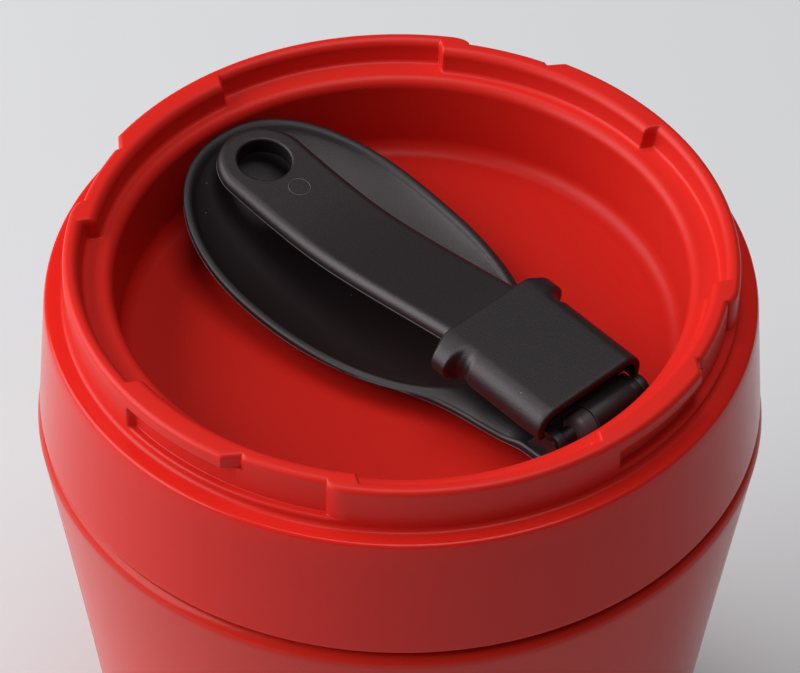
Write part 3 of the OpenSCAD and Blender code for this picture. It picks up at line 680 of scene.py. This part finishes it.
# Rows run from the middle of the top out over the rounded edge and back in along the underside.
spread = np.concatenate([np.linspace(0, 0.84, 30), np.linspace(0.86, 1, 16)])[:, None, None]
drawn = outline(edge_round)
plan = plan_middle + (drawn - plan_middle) * spread
top_sheet = np.concatenate([plan, spoon_top(plan[..., 0], plan[..., 1])[..., None]], -1)
base_sheet = np.concatenate([plan, spoon_base(plan[..., 0], plan[..., 1])[..., None]], -1)
edge_rows = []
for a in np.radians([18, 36, 54, 72, 90]):
    row = outline(edge_round * (1 - math.sin(a)))
    row_z = rim(row[:, 0]) - top_fall * crown(*drawn.T) - edge_round * (1 - math.cos(a))
    edge_rows.append(np.concatenate([row, row_z[:, None]], 1))
seam_row = np.concatenate([outline(0.05), base_sheet[-1, :, 2:] + 0.35], 1)
spoon_grid = np.concatenate([top_sheet, np.stack(edge_rows + [seam_row]), base_sheet[::-1]])
spoon = surface("spoon_bowl_piece", in_well(spoon_grid)[::-1], crease=40)


def nylon(name, colour, roughness, depth):
    """Black nylon: mould grain as fine bumps, a softer broad unevenness, and a few paler specks of dust."""
    material = paint(name, colour, roughness, grain=5200, depth=depth, mottle=0.06, spread=0.05)
    tree = material.node_tree
    shader = tree.nodes["Principled BSDF"]
    shader.inputs["Specular IOR Level"].default_value = 0.64
    shader.inputs["Specular Tint"].default_value = (1, 0.9, 0.95, 1)
    where = tree.nodes.new("ShaderNodeTexCoord")
    specks = tree.nodes.new("ShaderNodeTexVoronoi")
    specks.inputs["Scale"].default_value = 420
    tree.links.new(where.outputs["Object"], specks.inputs["Vector"])
    small = grade(tree, specks.outputs["Distance"], 0.05, 0.03, 0, 1)
    pick = tree.nodes.new("ShaderNodeSeparateColor")
    tree.links.new(specks.outputs["Color"], pick.inputs["Color"])
    few = tree.nodes.new("ShaderNodeMath")
    few.operation = "GREATER_THAN"
    few.inputs[1].default_value = 0.93
    tree.links.new(pick.outputs["Red"], few.inputs[0])
    dust = tree.nodes.new("ShaderNodeMix")
    dust.data_type = "RGBA"
    dust.inputs["B"].default_value = (0.22, 0.2, 0.2, 1)
    tree.links.new(combine(tree, "MULTIPLY", small, few.outputs["Value"]), dust.inputs["Factor"])
    tree.links.new(shader.inputs["Base Color"].links[0].from_socket, dust.inputs["A"])
    tree.links.new(dust.outputs["Result"], shader.inputs["Base Color"])
    return material


# The bowl and its knuckles get a darker black than the handle, as painted shade for the bowl's hollow under
# the handle.
shaded_bowl_nylon = nylon("shaded_bowl_nylon", (0.003, 0.0018, 0.0022), 0.49, 0.16)
spoon.data.materials.append(shaded_bowl_nylon)
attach(spoon, "spoon")
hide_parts("spoon_bowl")

# ---- Hinge knuckles and pin ----
# Two knuckles stand up from the neck, and the far one reaches out past it. They are moulded
# in one with the bowl, and a pin pressed through them carries the handle.
knuckle_radius, front_radius, front_reach = 2.0, 2.9, 3.0
knuckle_foot = [[0.2, 3.9], [2.6, 3.9], [5.0, 3.9], [5.0, 4.8], [3.7, 6.3]]
far_side, lug_end, barrel_from, barrel_to = -8.6, -10.0, -7.05, 0.8


def block(name, section, low, high, soft=0.2):
    """An outline in x and z carried along y from low to high, drawn in by a soft edge at both ends and
    closed to its own middle, then laid in the well."""
    centre = section.mean(0)
    small = 1 - soft / np.abs(section - centre).max()
    eased = 1 - 0.3 * (1 - small)
    size = np.array([0, small, eased, 1, 1, eased, small, 0])[:, None, None]
    y = np.array([low, low, low + 0.3 * soft, low + soft, high - soft, high - 0.3 * soft, high, high])
    carried = centre + (section - centre) * size
    grid = np.stack([carried[..., 0], y[:, None] + 0 * carried[..., 0], carried[..., 1]], -1)
    return surface(name, in_well(grid[:, ::-1]))


# A knuckle is a circle about the pin, run down to the neck. Its front side is fuller, level on
# top, and slopes onto the neck's top.
knuckle_top = pin_height + knuckle_radius
front_side = np.minimum(bend(0, pin_height, front_radius, 0, 90, 24), [front_reach, knuckle_top])
knuckle = np.concatenate([front_side, bend(0, pin_height, knuckle_radius, 92, 265, 40), knuckle_foot])
lug = bend(0, pin_height, knuckle_radius, 0, 360, 65)[:-1]
for piece in (block("far_knuckle", knuckle, far_side, barrel_from - 0.2),
              block("near_knuckle", knuckle, 6.2, 7.7),
              block("far_end", lug, lug_end, far_side + 0.05, 0.25)):
    piece.data.materials.append(shaded_bowl_nylon)
    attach(piece, "spoon")
handle_nylon = nylon("handle_nylon", (0.0048, 0.0032, 0.0038), 0.47, 0.18)
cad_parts["hinge_pin"].material_slots[0].material = handle_nylon

# ---- Handle ----
# A flat arm with a round eye to hang it by, thinner beyond the lock sleeve and bent in a shallow
# arch. Its root ends in a barrel on the pin, a domed stub beside it and a rounded far corner.
handle_tip, eye_radius = 74.0, 7.15
hole_at, hole_radius, hole_soft = 67.1, 4.0, 0.35
slope = math.tan(math.radians(3.6))
root_half, root_start, sleeve_end = 8.8, 2.8, 20.9
root_height, arch_height, arch_at, arch_turn = 12.9, 11.0, 49.5, 9
barrel_radius = 2.6
eye_from, eye_middle = 54.0, handle_tip - eye_radius


def handle_top(x):
    """The lower, softly, of a straight slope through the sleeve and a shallow hyperbolic arch."""
    straight = root_height + slope * x
    arch = arch_height + 0.15 * (np.hypot(x - arch_at, arch_turn) - arch_turn)
    return -np.logaddexp(-3 * straight, -3 * arch) / 3


def handle_thick(x):
    """3.6 in the sleeve, 3.0 beyond it, and 2.6 at the eye."""
    return 3.6 - 0.6 * rise(x, 17, 22) - 0.4 * rise(x, 62, 74)


def handle_half(x):
    """Full in the sleeve, and narrowing beyond it to the eye's own radius."""
    waist = eye_radius + 1.45 * np.clip(1 - (x - sleeve_end) / 28, 0, 1) ** 1.6
    eye = np.sqrt(np.maximum(0, eye_radius ** 2 - np.maximum(0, x - eye_middle) ** 2))
    return np.where(x <= sleeve_end, root_half, np.minimum(waist, eye))


def fillet(distance, radius):
    """Drop of a rounded edge at a distance inside it."""
    return radius - np.sqrt(np.maximum(0, radius ** 2 - np.clip(radius - distance, 0, radius) ** 2))


def handle_sheet(x, y, side):
    """Points of the top (side 1) or underside (side -1) over a plan, rounded at the outline and the hole."""
    from_round = eye_radius - np.hypot(x - eye_middle, y)
    from_edge = np.where(x > eye_middle, from_round, handle_half(x) - np.abs(y))
    from_hole = np.hypot(x - hole_at, y) - hole_radius
    half = handle_thick(x) / 2
    rounded = fillet(np.maximum(from_edge, 0), half) + fillet(np.maximum(from_hole, 0), hole_soft)
    return np.stack([x, y, handle_top(x) - half + side * (half - rounded)], -1)


# The arm is a grid of its own; round the eye, rows spread from the hole to the outline.
across = np.sin(np.pi / 2 * np.linspace(-1, 1, 61))
root_x = np.linspace(root_start, sleeve_end - 0.01, 34)
along = np.concatenate([root_x, np.linspace(sleeve_end, eye_from, 70)])
arm_x = along[:, None] + 0 * across
arm_y = handle_half(along)[:, None] * across
side_x = np.linspace(eye_from, eye_middle, 24)[1:]
border = np.concatenate([
    np.stack([side_x, handle_half(side_x)], 1), bend(eye_middle, 0, eye_radius, 90, -90, 90)[1:-1],
    np.stack([side_x, -handle_half(side_x)], 1)[::-1], np.stack([arm_x[-1], arm_y[-1]], 1)])
ray = border - [hole_at, 0]
hole_edge = [hole_at, 0] + hole_radius * ray / np.linalg.norm(ray, axis=1, keepdims=True)
outward = (0.5 - 0.5 * np.cos(np.pi * np.linspace(0, 1, 36)))[:, None, None]
eye = hole_edge + (border - hole_edge) * outward
top_arm, low_arm = (handle_sheet(arm_x, arm_y, side) for side in (1, -1))
top_eye, low_eye = (handle_sheet(eye[..., 0], eye[..., 1], side) for side in (1, -1))
down = np.linspace(0, 1, 6)[:, None, None]
root_end = top_arm[:1] + (low_arm[:1] - top_arm[:1]) * down
bore = top_eye[:1] + (low_eye[:1] - top_eye[:1]) * down
handle = patchwork("handle_arm", [(in_well(grid), wrap) for grid, wrap in (
    (top_arm[::-1], False), (low_arm, False), (root_end, False),
    (top_eye, True), (low_eye[::-1], True), (bore[::-1], True))], crease=40)

# The barrel runs on into the web that joins it to the root, rounded where the sleeve's mouth shows it.
brow = np.linspace(0.2, 1, 9) * np.pi / 2
web = np.concatenate([
    bend(0, pin_height, barrel_radius, 88, 360, 50),
    [[barrel_radius, 8.3], [2.7, 9.1], [2.7, 9.6], [3.1, 9.6], [3.1, 11.5]],
    np.stack([np.linspace(2.8, 0.3, 9), 11.35 - 1.05 * np.sin(brow)], 1)])
barrel = block("handle_barrel", web, barrel_from, barrel_to, 0.12)
corner = block("handle_corner", bend(2.35, 11.0, 0.85, 0, 360, 33)[:-1], far_side - 0.02, barrel_from + 0.15)


def dowel(low, high, radius, dome):
    """A round bar about the pin, flat at its low end and closed by half an ellipse at its high end."""
    t = np.radians(np.linspace(0, 90, 14))[:, None]
    y = np.concatenate([[[low], [low]], high - dome + dome * np.sin(t)])
    r = np.concatenate([[[0], [radius]], radius * np.cos(t)])
    a = np.linspace(2 * np.pi, 0, 64, endpoint=False)
    return np.stack([r * np.cos(a), y + 0 * a, pin_height + r * np.sin(a)], -1)


stub = surface("handle_stub", in_well(dowel(barrel_to - 0.2, 4.3, 2.35, 1.7)))
# The stub, and the mould seams below, get a paler nylon than the handle, as painted highlight where they
# catch the light.
painted_highlight_nylon = paint("painted_highlight_nylon", (0.075, 0.066, 0.07), 0.42, grain=5200, depth=0.1)
for piece in (handle, barrel, corner, stub):
    piece.data.materials.append(painted_highlight_nylon if piece == stub else handle_nylon)
    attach(piece, "handle")
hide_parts("spoon_handle")

# ---- Mould seams and ejector mark ----
# Where the halves of the mould met, a hair of nylon stands round the handle's edge, the
# spoon's edge, the barrel's end and the far lug. An ejector left a ring on the arm by the eye. These fine
# ridges are coloured a paler nylon, as painted highlight on their crests.
seam_radius, flash_radius, lug_seam_radius = 0.06, 0.07, 0.05
ejector_at, ejector_radius = 59.9, 1.6


def bead(path, radius, loop=False):
    """A fine round line along a path of points, its section turned square to the path's own direction."""
    ahead = np.roll(path, -1, 0) - np.roll(path, 1, 0) if loop else np.gradient(path, axis=0)
    ahead = ahead / np.linalg.norm(ahead, axis=1, keepdims=True)
    aside = np.cross(ahead, [0.05, 0.1, 1.0])
    aside = aside / np.linalg.norm(aside, axis=1, keepdims=True)
    above = np.cross(aside, ahead)
    a = np.linspace(0, 2 * np.pi, 8, endpoint=False)[None, :, None]
    tube = path[:, None] + radius * (np.cos(a) * aside[:, None] + np.sin(a) * above[:, None])
    if loop:
        return np.concatenate([tube, tube[:1]])
    return np.concatenate([path[:1, None] + 0 * tube[:1], tube, path[-1:, None] + 0 * tube[-1:]])


def about_pin(radius, y, start, end, steps):
    """An arc about the pin, at a place along it."""
    arc = bend(0, pin_height, radius, start, end, steps)
    return np.stack([arc[:, 0], y + 0 * arc[:, 0], arc[:, 1]], 1)


flash = about_pin(barrel_radius - 0.02, barrel_to, 8, 172, 50)
flash = flash[flash[:, 0] < 2.2]
ring_x, ring_y = bend(ejector_at, -0.3, ejector_radius, 0, 360, 49)[:-1].T
ejector_path = np.stack([ring_x, ring_y, handle_top(ring_x)], 1)
tip_x = handle_tip - 7.1 + 7.1 * np.sin(np.linspace(0, np.pi / 2, 24))[1:]
parting_x = np.concatenate([np.linspace(22.5, 66.7, 60), tip_x])
parting_z = handle_top(parting_x) - 0.58 * handle_thick(parting_x)
parting = np.stack([parting_x, handle_half(parting_x), parting_z], 1)
parting = np.concatenate([parting, parting[-2::-1] * [1, -1, 1]])
lug_line = np.linspace([0.5, -9.75, pin_height + 1.95], [0.5, -7.4, pin_height + 1.95], 12)
for name, line, body in (
        ("barrel_flash", bead(flash, flash_radius), "handle"),
        ("ejector_ring", bead(ejector_path, seam_radius, True), "handle"),
        ("handle_seam", bead(parting, seam_radius), "handle"),
        ("spoon_seam", bead(seam_row[::3], seam_radius, True), "spoon"),
        ("lug_seam", bead(about_pin(knuckle_radius, -8.9, 35, 150, 24), lug_seam_radius), "spoon"),
        ("lug_parting", bead(lug_line, lug_seam_radius), "spoon")):
    mark = surface(name, in_well(line))
    mark.data.materials.append(painted_highlight_nylon)
    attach(mark, body)

# ---- Lock sleeve ----
# A flat sleeve that runs along the handle's root and holds the spoon open once it is slid
# over the hinge. Two rounded ribs at its handle end give the thumb a grip.
sleeve_flat, sleeve_half, sleeve_deep, sleeve_middle = 7.0, 10.05, 3.05, 11.1
cavity_half, cavity_deep = 8.95, 1.95
rib_width, rib_height, groove_at, groove_drop = 4.4, 1.7, 5.4, 0.5
slit = 0.002


def sleeve_side(x):
    """Half width: the plain sleeve, a groove near its handle end, and the rib beyond it, which rounds off
    at the very end."""
    e = sleeve_end - x
    rib = rib_height * (rise(rib_width - e, 0, 1.1) - 1 + rise(e, 0, 1.1))
    return sleeve_half + rib - groove_drop * (1 - rise(np.abs(e - groove_at), 0, 1.3))


def around(x, half, deep, start, draw):
    """A section, mirrored in the handle's middle, from a lower start angle up to the top: a flat, half an
    ellipse and a flat, drawn in by a distance, then sheared up along the handle."""
    a = np.radians(np.linspace(start, 90, 40))[None, :]
    y = sleeve_flat + (half - sleeve_flat - draw)[:, None] * np.cos(a)
    z = sleeve_middle + (deep - draw)[:, None] * np.sin(a)
    low = np.linspace(slit, 1, 8)[:-1] * y[:, :1] if start == -90 else y[:, :1] + np.zeros(7)
    high = np.linspace(1, 0, 9)[1:] * y[:, -1:]
    y = np.concatenate([low, y, high], 1)
    z = np.concatenate([z[:, :1] + np.zeros(7), z, z[:, -1:] + np.zeros(8)], 1)
    right = np.stack([x[:, None] + 0 * y, y, z + slope * x[:, None]], -1)
    return in_well(np.concatenate([right, right[:, -2::-1] * [1, -1, 1]], 1))


def sleeve_run(x, draw, outer_start, inner_start):
    """A length of the sleeve: outer and inner sheets, the two edges between them, and both ends."""
    outer = around(x, sleeve_side(x), sleeve_deep + 0 * x, outer_start, draw)
    hollow = around(x, cavity_half + 0 * x, cavity_deep + 0 * x, inner_start, 0 * x)
    inwards = (hollow - outer) * np.linspace(0, 1, 4)[:, None, None, None]
    left, right = (np.moveaxis(outer[:, k] + inwards[:, :, k], 0, 1) for k in (0, -1))
    near, far = (outer[k] + inwards[:, k] for k in (0, -1))
    return [(grid, False) for grid in (outer, hollow[::-1], left[::-1], right, near[::-1], far)]


# The lower wall is cut away at the mouth, to pass over the barrel, and again under the ribs. Each
# run's two angles say where its outer and its inner sheet start, up from straight down at -90.
mouth = np.array([0.3, 0.34, 0.44, 0.65, 1.2, 2.0, 3.2])
mouth_draw = np.array([0.35, 0.2, 0.07, 0, 0, 0, 0])
closed = np.linspace(3.201, 12.199, 20)
grip = np.concatenate([np.linspace(12.2, 20.55, 60), [20.76, 20.86, sleeve_end]])
grip_draw = np.concatenate([np.zeros(60), [0.07, 0.2, 0.35]])
sleeve_runs = (
    sleeve_run(mouth, mouth_draw, -23.4, -38.4)
    + sleeve_run(closed, 0 * closed, -90, -90)
    + sleeve_run(grip, grip_draw, -62.7, -44.1))
sleeve = patchwork("lock_sleeve_piece", sleeve_runs, crease=40)
sleeve_nylon = nylon("sleeve_nylon", (0.0048, 0.0032, 0.0038), 0.47, 0.18)
sleeve.data.materials.append(sleeve_nylon)
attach(sleeve, "sleeve")
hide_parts("lock_sleeve")
